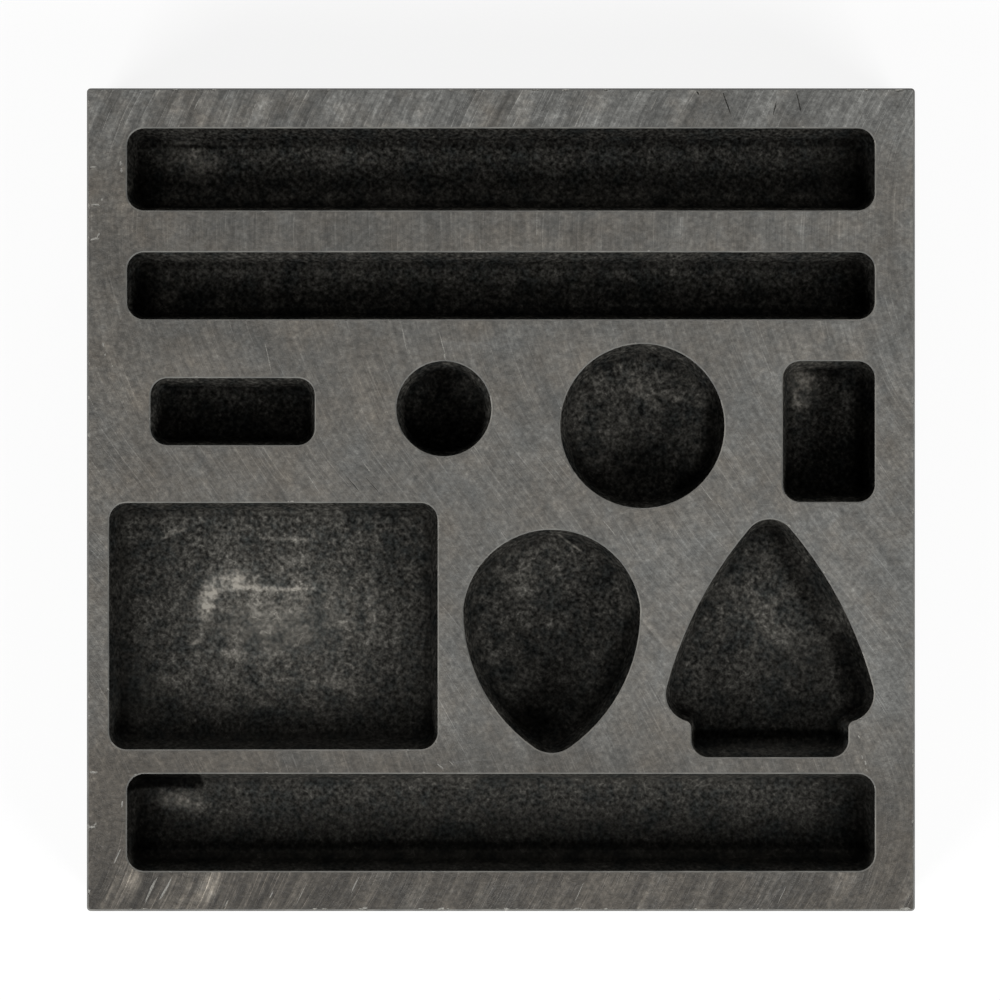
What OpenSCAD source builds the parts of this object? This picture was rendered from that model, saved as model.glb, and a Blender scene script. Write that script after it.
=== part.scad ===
// Open mould for casting small bars, slabs, discs, a teardrop and an arrowhead.
// One plate of graphite with ten cavities, milled with a tapered cutter that has
// a round nose: the cutter gives every cavity its draft, the rounding at the foot
// of its walls and the radius of its square corners.
// Origin: the middle of the underside. +X runs along the bar cavities, +Y points
// to the edge that has two of them, and +Z is up.

/* [Block] */
// Width of the block, along the bar cavities
block_width = 127; // [124:0.5:150]
// Depth of the block, across the bar cavities
block_depth = 126.2; // [124.6:0.1:150]
// Thickness of the block
block_height = 25; // [16:0.5:40]
// Radius of the upright corners
corner_radius = 0.6; // [0.5:0.1:3]
// Bevel round the top and the underside
edge_break = 0.3; // [0.1:0.05:0.45]

/* [Cutter] */
// Depth of the cavities
cavity_depth = 12.5; // [8:0.5:14]
// Slope of the cavity walls from upright
draft = 6; // [3:0.5:9]
// Radius of the cutter's nose, left at the foot of the walls
nose_radius = 1.5; // [0.8:0.1:2]
// Bevel round the mouth of each cavity
rim_break = 0.2; // [0.1:0.05:0.4]

/* [Bar cavities] */
// Distance from the block's sides to the bars
edge_margin = 6.15; // [4:0.05:7]
// Width of the bar nearest the back
back_bar_width = 12.6; // [9:0.1:14]
// Width of the second bar
narrow_bar_width = 10.3; // [8.5:0.1:11.5]
// Width of the bar at the front
front_bar_width = 14.9; // [10:0.1:16]
// Wall between the two back bars, and behind the cavities that line up below them
bar_wall = 6.4; // [5:0.1:7]

/* [Round cavities] */
// Diameter of the larger disc
disc_diameter = 25.2; // [18:0.1:28]
// Wall between the larger disc and the second bar
disc_wall = 3.75; // [2:0.05:5]
// Gap between the larger disc and the upright slab
disc_gap = 8.95; // [5:0.05:12]
// Diameter of the smaller disc
small_disc_diameter = 14.6; // [10:0.1:20]
// Gap between the smaller disc and the lying slab
small_disc_gap = 12.5; // [8:0.1:16]

/* [Slab cavities] */
// Length of the large slab
slab_length = 50.4; // [40:0.1:54]
// Width of the large slab
slab_width = 37.8; // [28:0.1:40]
// Distance from the block's left side to the large slab
slab_margin = 3.4; // [2:0.1:6]
// Wall between the large slab and the front bar
slab_wall = 3.75; // [2:0.05:5]
// Length of the small lying slab
lying_slab_length = 25.2; // [15:0.1:30]
// Width of the small lying slab
lying_slab_width = 10.3; // [8.5:0.1:14]
// Distance from the block's left side to the lying slab
lying_slab_margin = 9.75; // [5:0.05:14]
// Wall between the lying slab and the second bar
lying_slab_wall = 9; // [5:0.1:12]
// Width of the upright slab
upright_slab_width = 14.1; // [10:0.1:18]
// Length of the upright slab
upright_slab_length = 21.6; // [15:0.1:22.5]

/* [Teardrop cavity] */
// Width of the teardrop
drop_width = 27.15; // [22:0.05:30]
// Length of the teardrop
drop_length = 34.25; // [28:0.05:35]
// Radius over the top of the teardrop
drop_crown_radius = 13.7; // [13.65:0.05:20]
// Radius beside the top
drop_shoulder_radius = 8; // [5:0.1:10]
// Radius of the tip
drop_tip_radius = 4.75; // [4:0.05:8]
// Wall between the tip and the front bar
drop_wall = 3.2; // [2.5:0.05:4]

/* [Arrowhead cavity] */
// Width over the barbs
arrow_width = 31.9; // [30:0.1:34]
// Length from the tip to the end of the stem
arrow_length = 36.5; // [30:0.1:37.5]
// Width of the stem
stem_width = 24.1; // [22:0.1:26]
// Height of the necks above the end of the stem
stem_length = 4.5; // [4:0.1:8]
// Radius of the curved flanks
flank_radius = 62; // [45:1:150]
// Radius of the tip
arrow_tip_radius = 4.1; // [4:0.1:7]
// Radius of the barbs
barb_radius = 4.35; // [4:0.05:6]
// Radius in the necks
neck_radius = 1.1; // [0.8:0.1:2]
// Distance from the block's right side to the barb
arrow_margin = 6.3; // [4:0.1:8]
// Wall between the stem and the front bar
arrow_wall = 2.55; // [1.5:0.05:4]

/* [Hidden] */
$fn = 96;
// Lengths shorter than this are taken as nothing
tiny = 0.001;
// How far the walls of a solid reach into its core
lap = 1;
// How far the straight edges of a core may lie inside a curved path
core_sag = lap / 3;
// How far a wall runs on past its end, in mm or degrees, to fuse with the next wall
hair = 0.000001;
// Places that two solids share are set in whole steps of this size and a remainder
place_step = 0.01;
// How far the cuts run on above the block
overshoot = 1;
graphite = [0.41, 0.40, 0.39];

// The cutter's cone would meet the floor at this radius. It runs a trace inside the
// nose, so that the two cross.
heel = (nose_radius - tiny / 2) / cos(draft) - nose_radius * tan(draft);
// Radius of the cutter where the bevel starts, which is the least inside radius
cutter_radius = round((heel + (cavity_depth - rim_break) * tan(draft)) / tiny) * tiny;

// The block's edges and those of the bars, which the other cavities line up with
left = -block_width / 2;
right = block_width / 2;
back = block_depth / 2;
front = -block_depth / 2;
bar_length = block_width - 2 * edge_margin;
back_bar_y = back - edge_margin - back_bar_width / 2;
narrow_bar_y = back_bar_y - back_bar_width / 2 - bar_wall - narrow_bar_width / 2;
front_bar_y = front + edge_margin + front_bar_width / 2;
below_bars = narrow_bar_y - narrow_bar_width / 2;
above_front_bar = front_bar_y + front_bar_width / 2;

// The row below the two back bars hangs from the second one
lying_slab_x = left + lying_slab_margin + lying_slab_length / 2;
small_disc_x = left + lying_slab_margin + lying_slab_length + small_disc_gap
    + small_disc_diameter / 2;
upright_slab_x = right - edge_margin - upright_slab_width / 2;
disc_x = upright_slab_x - upright_slab_width / 2 - disc_gap - disc_diameter / 2;

// The lowest row stands on the front bar, with the teardrop midway in its gap
slab_x = left + slab_margin + slab_length / 2;
arrow_x = right - arrow_margin - arrow_width / 2;
drop_x = (slab_x + slab_length / 2 + arrow_x - arrow_width / 2) / 2;

// An outline is a list of arcs, anticlockwise, joined by straight lines where they
// do not meet. Each arc is [centre, radius, first and last angle of the outward
// normal]. A hollow arc has a negative radius and turns back.
function centre(arc) = arc[0];
function path_radius(arc, inset) = arc[1] - inset;
function first_normal(arc) = arc[2];
function last_normal(arc) = arc[3];
function turn(arc) = last_normal(arc) - first_normal(arc);
function toward(angle) = [cos(angle), sin(angle)];
function on_path(arc, inset, normal) =
    centre(arc) + path_radius(arc, inset) * toward(normal);
// Angles where two arcs meet are rounded, and the arcs are then fitted to them
function rounded(angle) = round(angle / tiny) * tiny;

// The arc mirrored in the Y axis
function mirrored(arc) =
    [[-centre(arc).x, centre(arc).y], arc[1], 180 - last_normal(arc), 180 - first_normal(arc)];
// The right-hand arcs followed by the same arcs on the left, in reverse
function both_sides(arcs) =
    concat(arcs, [for (i = [len(arcs) - 1 : -1 : 0]) mirrored(arcs[i])]);
// Centre of the circle that holds two smaller ones and touches both, on the side
// of them where x is less
function enclosing_centre(a, a_radius, b, b_radius, radius) =
    let (
        to_a = radius - a_radius,
        to_b = radius - b_radius,
        gap = norm(b - a),
        along = (to_a ^ 2 - to_b ^ 2 + gap ^ 2) / (2 * gap),
        unit = (b - a) / gap,
        across = sqrt(to_a ^ 2 - along ^ 2)
    )
    a + along * unit + across * [-unit.y, unit.x];
function bearing(v) = atan2(v.y, v.x);

function rounded_rectangle(width, depth, radius) =
    let (corner = [width / 2 - radius, depth / 2 - radius])
    both_sides([[[corner.x, -corner.y], radius, -90, 0], [corner, radius, 0, 90]]);

// Teardrop with its tip at the origin, pointing to -Y. Its arcs follow on from the
// crown, so that each one starts in line with the last.
function teardrop() =
    let (
        half_width = drop_width / 2,
        crown = [0, drop_length - drop_crown_radius],
        crown_normal = rounded(acos((half_width - drop_shoulder_radius)
            / (drop_crown_radius - drop_shoulder_radius))),
        shoulder = crown + (drop_crown_radius - drop_shoulder_radius) * toward(crown_normal),
        widest_x = shoulder.x + drop_shoulder_radius,
        tip_normal = rounded(-2 * atan((widest_x - drop_tip_radius)
            / (shoulder.y - drop_tip_radius))),
        side_radius = drop_tip_radius + (widest_x - drop_tip_radius) / (1 - cos(tip_normal)),
        side = [widest_x - side_radius, shoulder.y],
        tip = [0, side.y + (side_radius - drop_tip_radius) * sin(tip_normal)]
    )
    both_sides([
        [tip, drop_tip_radius, -90, tip_normal],
        [side, side_radius, tip_normal, 0],
        [shoulder, drop_shoulder_radius, 0, crown_normal],
        [crown, drop_crown_radius, crown_normal, 90],
    ]);

// Arrowhead with the end of its stem on the X axis, pointing to +Y. Its arcs follow
// on from the neck, and the radius of the flank is adjusted a trace to end in line.
function arrowhead() =
    let (
        half_stem = stem_width / 2,
        neck = [half_stem + neck_radius, stem_length],
        neck_normal = rounded(-acos((neck.x - arrow_width / 2 + barb_radius)
            / (neck_radius + barb_radius))),
        barb = neck - (neck_radius + barb_radius) * toward(neck_normal),
        apex = [0, arrow_length - arrow_tip_radius],
        middle = enclosing_centre(barb, barb_radius, apex, arrow_tip_radius, flank_radius),
        barb_normal = rounded(bearing(barb - middle)),
        tip_normal = rounded(bearing(apex - middle)),
        side_radius = (barb.x + barb_radius * cos(barb_normal)
            - arrow_tip_radius * cos(tip_normal)) / (cos(barb_normal) - cos(tip_normal)),
        flank = barb - (side_radius - barb_radius) * toward(barb_normal),
        tip = [0, flank.y + (side_radius - arrow_tip_radius) * sin(tip_normal)]
    )
    both_sides([
        [[half_stem - cutter_radius, cutter_radius], cutter_radius, -90, 0],
        [neck, -neck_radius, 0, neck_normal],
        [barb, barb_radius, neck_normal, barb_normal],
        [flank, side_radius, barb_normal, tip_normal],
        [tip, arrow_tip_radius, tip_normal, 90],
    ]);

// Points along an arc that is moved in by the inset. An arc too tight for the inset
// leaves one point, where the lines beside it meet.
function core_points(arc, inset) =
    let (
        radius = path_radius(arc, inset),
        convex = radius > tiny,
        step = 2 * acos(max(0, 1 - core_sag / max(abs(radius), tiny))),
        steps = ceil(abs(turn(arc)) / step)
    )
    convex || arc[1] < 0
        ? [for (i = [0 : steps]) on_path(arc, inset, first_normal(arc) + i * turn(arc) / steps)]
        : [centre(arc) + radius / cos(turn(arc) / 2)
            * toward((first_normal(arc) + last_normal(arc)) / 2)];

// The area inside an outline that is moved in by the inset
module core_area(arcs, inset) {
    points = [for (arc = arcs) each core_points(arc, inset)];
    polygon([for (i = [0 : len(points) - 1])
        if (norm(points[i] - points[(i + 1) % len(points)]) > tiny) points[i]]);
}

// A move made in two steps, a coarse one and a fine one, for places that two solids
// share and that need all their decimals
module moved(place) {
    coarse = [for (x = place) round(x / place_step) * place_step];
    translate(coarse) translate(place - coarse) children();
}

// A wall round an arc: the profile, a child, turned about the arc's centre. Each wall
// runs a hair past the end of its arc or line, into the wall that follows.
module turned_wall(arc, inset) {
    radius = path_radius(arc, inset);
    $lap = radius < 0 ? lap : min(lap, radius);
    moved(centre(arc)) {
        if (radius < 0)
            rotate_extrude(angle = hair - turn(arc), start = last_normal(arc) + 180 - hair)
                moved([-radius, 0]) mirror([1, 0]) children();
        else
            rotate_extrude(angle = min(turn(arc) + hair, 360), start = first_normal(arc))
                moved([radius, 0]) children();
    }
}

// A wall along a straight line of the path, with the profile's +X to the outside
module straight_wall(from, to, normal) {
    $lap = lap;
    length = norm(to - from) + hair;
    moved(from) rotate([0, 0, normal]) translate([0, length, 0])
        rotate([90, 0, 0]) linear_extrude(length) children();
}

// The solid inside an outline, whose edge has the profile that is its child. The
// profile starts at the path, which lies inside the outline by the inset. The walls
// meet end to end and reach into the core.
module profiled_solid(arcs, inset, height) {
    linear_extrude(height) core_area(arcs, inset + lap / 2);
    for (i = [0 : len(arcs) - 1]) {
        arc = arcs[i];
        next = arcs[(i + 1) % len(arcs)];
        from = on_path(arc, inset, last_normal(arc));
        to = on_path(next, inset, first_normal(next));
        turned_wall(arc, inset) children();
        if (norm(to - from) > tiny) straight_wall(from, to, last_normal(arc)) children();
    }
}

// Half of the cutter's section, standing on the cavity's floor
module cutter_profile() {
    mouth = cutter_radius + rim_break;
    nose = [0, nose_radius];
    reach = 2 * nose_radius;
    difference() {
        polygon([
            [-$lap, 0],
            [heel, 0],
            [cutter_radius, cavity_depth - rim_break],
            [mouth, cavity_depth],
            [mouth, cavity_depth + overshoot],
            [-$lap, cavity_depth + overshoot]
        ]);
        difference() {
            polygon([
                nose,
                nose + [0, -reach],
                nose + [reach, -reach],
                nose + reach * toward(-draft)
            ]);
            translate(nose) circle(nose_radius);
        }
    }
}

// Edge of the block from its path outwards, bevelled at the top and the underside
module edge_profile() {
    polygon([
        [-$lap, 0],
        [corner_radius - edge_break, 0],
        [corner_radius, edge_break],
        [corner_radius, block_height - edge_break],
        [corner_radius - edge_break, block_height],
        [-$lap, block_height]
    ]);
}

module cavity(x, y, outline) {
    translate([x, y, block_height - cavity_depth])
        profiled_solid(outline, cutter_radius, cavity_depth + overshoot) cutter_profile();
}

module slab_cavity(x, y, length, width) {
    cavity(x, y, rounded_rectangle(length, width, cutter_radius));
}

module disc_cavity(x, y, diameter) {
    cavity(x, y, [[[0, 0], diameter / 2, 0, 360]]);
}

module bar_cavities() {
    slab_cavity(0, back_bar_y, bar_length, back_bar_width);
    slab_cavity(0, narrow_bar_y, bar_length, narrow_bar_width);
    slab_cavity(0, front_bar_y, bar_length, front_bar_width);
}

module middle_row_cavities() {
    slab_cavity(lying_slab_x, below_bars - lying_slab_wall - lying_slab_width / 2,
        lying_slab_length, lying_slab_width);
    disc_cavity(small_disc_x, below_bars - bar_wall - small_disc_diameter / 2,
        small_disc_diameter);
    disc_cavity(disc_x, below_bars - disc_wall - disc_diameter / 2, disc_diameter);
    slab_cavity(upright_slab_x, below_bars - bar_wall - upright_slab_length / 2,
        upright_slab_width, upright_slab_length);
}

module front_row_cavities() {
    slab_cavity(slab_x, above_front_bar + slab_wall + slab_width / 2, slab_length, slab_width);
    cavity(drop_x, above_front_bar + drop_wall, teardrop());
    cavity(arrow_x, above_front_bar + arrow_wall, arrowhead());
}

module mould_block() {
    color(graphite)
        difference() {
            profiled_solid(rounded_rectangle(block_width, block_depth, corner_radius),
                corner_radius, block_height) edge_profile();
            bar_cavities();
            middle_row_cavities();
            front_row_cavities();
        }
}

mould_block();
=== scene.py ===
"""Graphite casting mould: the milled block with its worn surfaces, and a plain stage."""
import math
import random

import bmesh
import bpy
from bpy.props import FloatProperty, FloatVectorProperty, IntProperty, PointerProperty
from mathutils import Matrix, Vector


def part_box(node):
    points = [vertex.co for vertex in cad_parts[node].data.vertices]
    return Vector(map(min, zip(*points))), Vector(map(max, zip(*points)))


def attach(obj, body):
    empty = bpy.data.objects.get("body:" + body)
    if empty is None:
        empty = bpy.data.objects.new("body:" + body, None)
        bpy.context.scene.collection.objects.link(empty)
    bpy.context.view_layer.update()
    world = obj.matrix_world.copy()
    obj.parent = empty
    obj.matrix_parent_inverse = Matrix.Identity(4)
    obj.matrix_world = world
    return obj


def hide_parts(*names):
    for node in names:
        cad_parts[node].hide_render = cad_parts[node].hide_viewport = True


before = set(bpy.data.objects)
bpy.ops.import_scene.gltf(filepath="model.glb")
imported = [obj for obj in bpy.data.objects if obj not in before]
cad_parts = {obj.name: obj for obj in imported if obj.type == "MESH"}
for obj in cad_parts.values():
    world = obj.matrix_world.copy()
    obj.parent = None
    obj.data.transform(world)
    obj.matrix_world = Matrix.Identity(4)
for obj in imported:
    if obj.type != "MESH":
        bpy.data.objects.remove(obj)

bl_info = {
    "name": "Graphite Casting Mould",
    "version": (1, 0, 0),
    "blender": (4, 5, 0),
    "location": "View3D > Sidebar > Mould",
    "description": "Finishes the milled graphite block of a casting mould and sets up its stage",
    "category": "Object",
}

MM = 0.001
BLOCK = "mould_block"
CAD_LOW, CAD_HIGH = (Vector(corner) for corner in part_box(BLOCK))
FACE_Z = CAD_HIGH.z
HALF_WIDTH = CAD_HIGH.x
HALF_DEPTH = CAD_HIGH.y

# Where each kind of surface lies in the block's list of materials
FACE, CAVITY, OUTSIDE, RIM, LIP_HIGHLIGHT, CHIP = range(6)

# Lean of the fly cutter's marks: height up the face in mm, angle from +X in degrees
CUTTER_LEAN = (
    (-64, 62), (-56, 66), (-50, 86), (-45, 106), (-30, 126), (0, 128),
    (15, 118), (27, 106), (41, 90), (52, 74), (57, 67), (64, 60),
)

# Nicks in the block's own edges: x, y, length, width and depth in mm, and the
# direction that each one runs in degrees
NICKS = (
    (-63.45, 50.9, 0.9, 0.3, 0.25, 88), (-63.45, 39.6, 1.1, 0.35, 0.25, 84),
    (-63.4, -50.3, 0.8, 0.4, 0.3, 80), (0.9, -63.0, 0.7, 0.45, 0.35, 0),
    (63.45, 57.6, 1.2, 0.3, 0.2, 92), (61.7, -62.95, 1.1, 0.4, 0.3, 6),
    (-63.35, 60.6, 1.0, 0.35, 0.3, 74), (24.0, 63.0, 1.6, 0.35, 0.25, 2),
)

# Scratches and flecks on the face: x, y, length and width in mm, and direction in
# degrees
SCRATCHES = (
    (-53.6, -59.7, 5.8, 0.5, 63.5), (-51.5, -59.9, 5.6, 0.44, 60.5), (-58.9, -54.9, 3.4, 0.26, 66),
    (-22.3, -58.9, 3.8, 0.24, 64), (-35.2, -60.6, 1.8, 0.28, 62), (-42.1, -61.9, 1.6, 0.22, 62),
    (-46.6, 60.7, 2.2, 0.22, 66), (12.1, 58.8, 2.8, 0.16, 63), (23.4, 60.6, 3.0, 0.14, 64),
    (-14.8, 24.5, 4.1, 0.2, 103), (-9.0, 23.9, 5.3, 0.2, 105), (-8.6, 21.9, 1.6, 0.3, 103),
    (-35.7, 21.9, 6.0, 0.14, 102), (16.5, -4.2, 3.6, 0.18, 130), (14.2, -1.9, 2.6, 0.13, 122),
    (-28.7, 2.4, 4.4, 0.17, 124), (-20.6, 5.0, 3.0, 0.13, 128), (31.6, 0.9, 4.6, 0.16, 127),
    (34.0, -1.6, 3.4, 0.13, 125), (-9.3, -40.9, 1.8, 0.24, 142), (-7.6, -40.4, 1.3, 0.16, 138),
    (-62.6, 51.0, 1.4, 0.34, 4), (-62.1, 45.2, 2.2, 0.42, -5), (-61.2, 46.0, 0.7, 0.34, 60),
    (-62.4, 39.9, 1.9, 0.6, 14), (-61.7, 40.6, 1.1, 0.36, 58), (-62.4, -41.8, 1.6, 0.4, 2),
    (-62.7, -50.3, 1.6, 0.6, 8), (-62.2, -49.8, 0.9, 0.34, 50), (-58.3, 51.6, 1.0, 0.44, 80),
    (-58.2, 50.5, 0.9, 0.44, 96), (-58.1, -46.7, 1.2, 0.34, 85), (-61.0, 23.8, 1.1, 0.3, 105),
    (-60.7, 22.2, 0.5, 0.26, 80), (-59.6, 20.5, 0.5, 0.24, 120), (55.4, -39.5, 0.8, 0.34, 112),
    (55.9, -40.4, 0.9, 0.3, 100), (56.1, -41.5, 0.6, 0.24, 125), (54.9, -36.4, 0.8, 0.26, 112),
    (57.4, 0.5, 2.8, 0.13, 127), (61.0, -22.0, 4.0, 0.12, 123), (5.5, 42.1, 4.2, 0.12, 89),
    (-30.5, -60.3, 4.4, 0.14, 64), (12.0, -60.2, 4.6, 0.13, 65), (43.2, -60.4, 4.2, 0.13, 64),
)

# Dark cracks in the face: the same measures
CRACKS = (
    (34.7, 60.6, 4.6, 0.26, 110), (45.7, 60.9, 4.1, 0.24, 103), (42.0, 60.0, 2.8, 0.2, 76),
    (-22.7, 2.4, 4.6, 0.12, 130), (-19.5, 2.0, 4.4, 0.1, 132), (30.2, 62.4, 0.9, 0.3, 120),
)

# Paler and darker places in the cavities: the paler ones are rubbed wear together with
# painted highlights and painted light on the floors and far walls, and the darker ones are
# painted shade over small cavities and near walls. Each is x, y, half lengths and turn, in
# mm and degrees, with how much paler each one is, or darker where it is below nothing
PAINTED_LIGHT_AND_RUBBING = (
    (-49.2, 55.3, 3.4, 1.0, 0, 0.7), (-48.1, 52.0, 5.6, 3.2, 0, 0.6),
    (-24.5, 53.4, 7.0, 2.4, -10, 0.3), (-51.6, 32.8, 3.4, 2.6, 60, 0.35),
    (-50.2, -46.9, 5.4, 2.0, -8, 0.75), (10.0, -43.2, 60.0, 1.6, 0, 0.28),
    (-42.2, -12.6, 5.0, 2.3, 14, 0.72), (-45.7, -15.8, 1.9, 4.2, -16, 0.72),
    (-36.6, -13.7, 5.0, 0.6, -2, 0.5), (-30.6, -13.9, 4.0, 0.4, 0, 0.25), (-34.0, -18.0, 16.0, 10.0, 0, 0.43),
    (-42.0, -24.2, 7.0, 1.0, -3, 0.3), (-47.6, -22.2, 1.2, 0.5, 30, 0.7),
    (-27.0, -28.6, 8.0, 1.2, 3, 0.25), (-52.0, -27.6, 4.2, 1.0, 0, 0.25),
    (-31.0, -6.2, 8.0, 0.5, -2, 0.3), (-50.5, -5.0, 5.2, 0.5, 24, 0.5),
    (-20.0, -15.8, 1.6, 7.0, 8, 0.25), (21.4, 17.4, 4.6, 1.7, -48, 0.38), (28.0, 15.6, 4.2, 0.7, -12, 0.3),
    (15.6, 5.6, 3.2, 0.8, -20, 0.22), (13.0, 12.0, 3.0, 4.0, 0, 0.1),
    (18.0, 8.5, 7.0, 5.0, 0, 0.12), (46.8, 17.4, 3.6, 4.4, 0, 0.7),
    (5.8, -11.0, 7.0, 6.5, 0, 0.1), (10.8, -6.8, 2.9, 0.25, -35, 1.0),
    (41.0, -18.0, 7.0, 6.5, 0, 0.2), (-41.2, 13.5, 16.0, 7.0, 0, -0.25),
    (-9.0, 12.5, 6.0, 7.0, 0, -0.25), (50.1, 6.0, 8.0, 9.0, 0, -0.35),
    (0.0, 55.8, 95.0, 2.2, 0, -0.4), (0.0, 46.4, 95.0, 3.4, 0, 0.42),
    (-35.0, -31.5, 24.0, 6.0, 0, 0.2), (0.0, -55.2, 95.0, 1.6, 0, 0.45),
    (-8.8, 9.4, 7.0, 3.4, 0, -0.6), (-8.8, 16.4, 6.0, 3.0, 0, 0.25), (0.0, 33.0, 95.0, 5.0, 0, 0.1),
    (0.0, -49.5, 95.0, 11.0, 0, -0.12),
    (7.8, -16.0, 12.0, 14.0, 0, -0.12), (3.0, -12.0, 5.5, 7.0, -30, 0.14),
    (15.5, -17.0, 4.5, 9.0, 20, -0.1), (41.0, -28.0, 14.0, 9.0, 0, -0.15),
    (22.0, 2.0, 11.0, 4.0, 0, -0.15),
)

# Soot and painted shade on the cavities' walls, many at the block's sides: the darker rows
# paint shade on walls and at their feet, and the one paler row is a painted highlight on a
# near wall; the same measures
WALL_SOOT_AND_PAINTED_SHADE = (
    (-58.8, -19.0, 3.0, 24.0, 0, -0.4), (-10.8, -19.0, 2.8, 24.0, 0, -0.4),
    (-55.8, 49.7, 3.6, 9.0, 0, -0.6), (55.8, 49.7, 3.8, 9.0, 0, -0.9),
    (-55.8, 32.8, 3.2, 8.0, 0, -0.6), (55.8, 32.8, 3.6, 8.0, 0, -0.8),
    (-55.8, -49.4, 3.6, 9.0, 0, -0.7), (55.8, -49.4, 3.6, 9.0, 0, -0.7),
    (56.6, 9.0, 2.6, 14.0, 0, -1.9), (33.4, 10.0, 2.6, 13.0, -6, -1.3),
    (30.0, 2.0, 5.0, 2.4, 48, -1.0), (54.5, -27.0, 3.4, 8.0, 20, -1.1),
    (46.0, -12.0, 1.8, 13.0, 27, -0.8), (18.6, -24.0, 2.4, 12.0, -27, -0.8),
    (41.0, -36.4, 16.0, 1.0, 0, -1.3), (41.0, -38.7, 16.0, 1.1, 0, 0.7),
    (-35.0, -35.6, 30.0, 1.2, 0, -0.2), (0.0, -53.8, 80.0, 1.0, 0, -0.7),
    (5.5, -34.2, 4.6, 2.6, -20, -0.9), (-47.8, 54.9, 5.2, 0.35, -2, -1.1),
)

# Places where the specks are worn smooth: the same measures
SMOOTHED = (
    (-34.9, -20.0, 12.5, 4.8, 0, 0.7), (46.0, -25.0, 6.0, 5.0, 0, 0.4),
    (-57.0, -31.0, 4.0, 6.0, 0, 0.5), (2.0, -50.5, 70.0, 3.6, 0, 0.3),
    (0.0, -55.4, 95.0, 1.8, 0, 0.5), (-35.0, -37.4, 34.0, 1.8, 0, 0.5),
    (41.0, -38.4, 18.0, 1.6, 0, 0.5), (53.0, 50.0, 7.0, 9.0, 0, 0.5),
)

# Broad patches on the face, the same measures: pale ones where the cutter ran light,
# dark ones where it pressed
SMEARS = (
    (-36.8, 59.9, 1.1, 2.8, -27, 0.5), (-24.2, 59.6, 1.8, 3.2, -27, 0.55),
    (-50.0, 60.2, 1.1, 2.6, -27, 0.25), (-32.4, 59.8, 2.2, 3.2, -27, -0.2),
    (-56.2, -58.6, 1.7, 2.6, -27, 0.8), (-44.5, -59.6, 1.9, 3.6, -27, 1.0),
    (-31.0, -59.5, 1.2, 3.4, -27, 0.5), (-50.0, -60.0, 1.1, 3.0, -27, -0.2),
    (26.4, 61.2, 2.6, 1.4, 0, 0.3), (61.6, -59.4, 1.3, 1.9, 0, 0.3),
    (16.3, -59.5, 1.3, 3.0, -20, 0.6), (25.2, -59.2, 0.9, 3.0, -27, 0.5),
    (52.0, -58.6, 2.2, 3.2, -20, 0.5), (-3.2, -59.6, 0.9, 3.0, -15, 0.4),
    (33.6, -59.8, 1.3, 3.0, -27, -0.2), (8.6, -59.6, 2.0, 3.0, -27, -0.15),
    (-38.5, -59.5, 1.6, 3.4, -27, -0.2), (33.0, 59.4, 3.0, 2.8, -27, -0.2),
    (44.5, 59.0, 2.0, 3.2, -27, -0.2), (14.0, -60.0, 60.0, 4.0, 0, -0.12),
    (61.0, -5.0, 5.0, 75.0, 0, -0.09),
    (-40.0, 24.5, 26.0, 3.0, 0, -0.09), (-60.6, -12.0, 3.6, 34.0, 0, 0.09),
    (-12.0, 41.2, 80.0, 4.2, 0, -0.14), (-10.0, -40.4, 66.0, 3.0, 0, -0.1),
)

# The large slab's floor shows the cutter's path, in rounded turns about a bar: its
# middle and half sides, the distance of the first turn and the step to the next, in mm
SLAB_PATH_MIDDLE = (-35.3, -18.8)
SLAB_PATH_BAR = (6.8, 0.4)
SLAB_PATH_FIRST = 4.7
SLAB_PATH_STEP = 4.0
SLAB_BOX = (-62.0, -9.0, -40.5, 0.5)

# Piece of the front bar's far wall that is black and ends sharply
DARK_WALL_BOX = (-59.0, -46.2, -45.0, -40.0)


def linear(hex_colour):
    """The linear colour of an sRGB hex value."""
    values = [int(hex_colour[i:i + 2], 16) / 255 for i in (1, 3, 5)]
    return tuple(v / 12.92 if v <= 0.04045 else ((v + 0.055) / 1.055) ** 2.4 for v in values)


def rgba(colour):
    return (*colour, 1.0)


class MouldWear(bpy.types.PropertyGroup):
    """Wear that is cut into the block."""
    edge_chips: IntProperty(
        name="Edge chips", description="Number of small chips along the block's edges",
        default=70)
    rim_chips: IntProperty(
        name="Rim chips", description="Number of small chips along the rims of the cavities",
        default=90)
    chip_length: FloatProperty(
        name="Chip length", description="Usual half length of a chip along its edge",
        default=0.45 * MM, unit="LENGTH")
    seed: IntProperty(name="Seed", description="Start of the random draws", default=11)


class MouldColours(bpy.types.PropertyGroup):
    """Colours of the block's surfaces."""
    face: FloatVectorProperty(
        name="Face", description="Flat upper face", subtype="COLOR", size=3,
        default=linear("#676764"))
    face_stain: FloatVectorProperty(
        name="Stains", description="Brownish stains along the front and back of the face",
        subtype="COLOR", size=3, default=linear("#6b655c"))
    cavity: FloatVectorProperty(
        name="Cavities", description="Floors and walls of the cavities", subtype="COLOR",
        size=3, default=linear("#363532"))
    cavity_cool: FloatVectorProperty(
        name="Cool soot", description="Bluish parts of the cavities", subtype="COLOR",
        size=3, default=linear("#313332"))
    # Pale colour of the rubbed wear and of the painted highlights in the cavities
    cavity_rubbed_and_lit: FloatVectorProperty(
        name="Specks", description="Pale specks in the cavities", subtype="COLOR", size=3,
        default=linear("#45423d"))
    fresh: FloatVectorProperty(
        name="Fresh graphite", description="Graphite that a chip or a scratch has bared",
        subtype="COLOR", size=3, default=linear("#b2afa7"))


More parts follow.
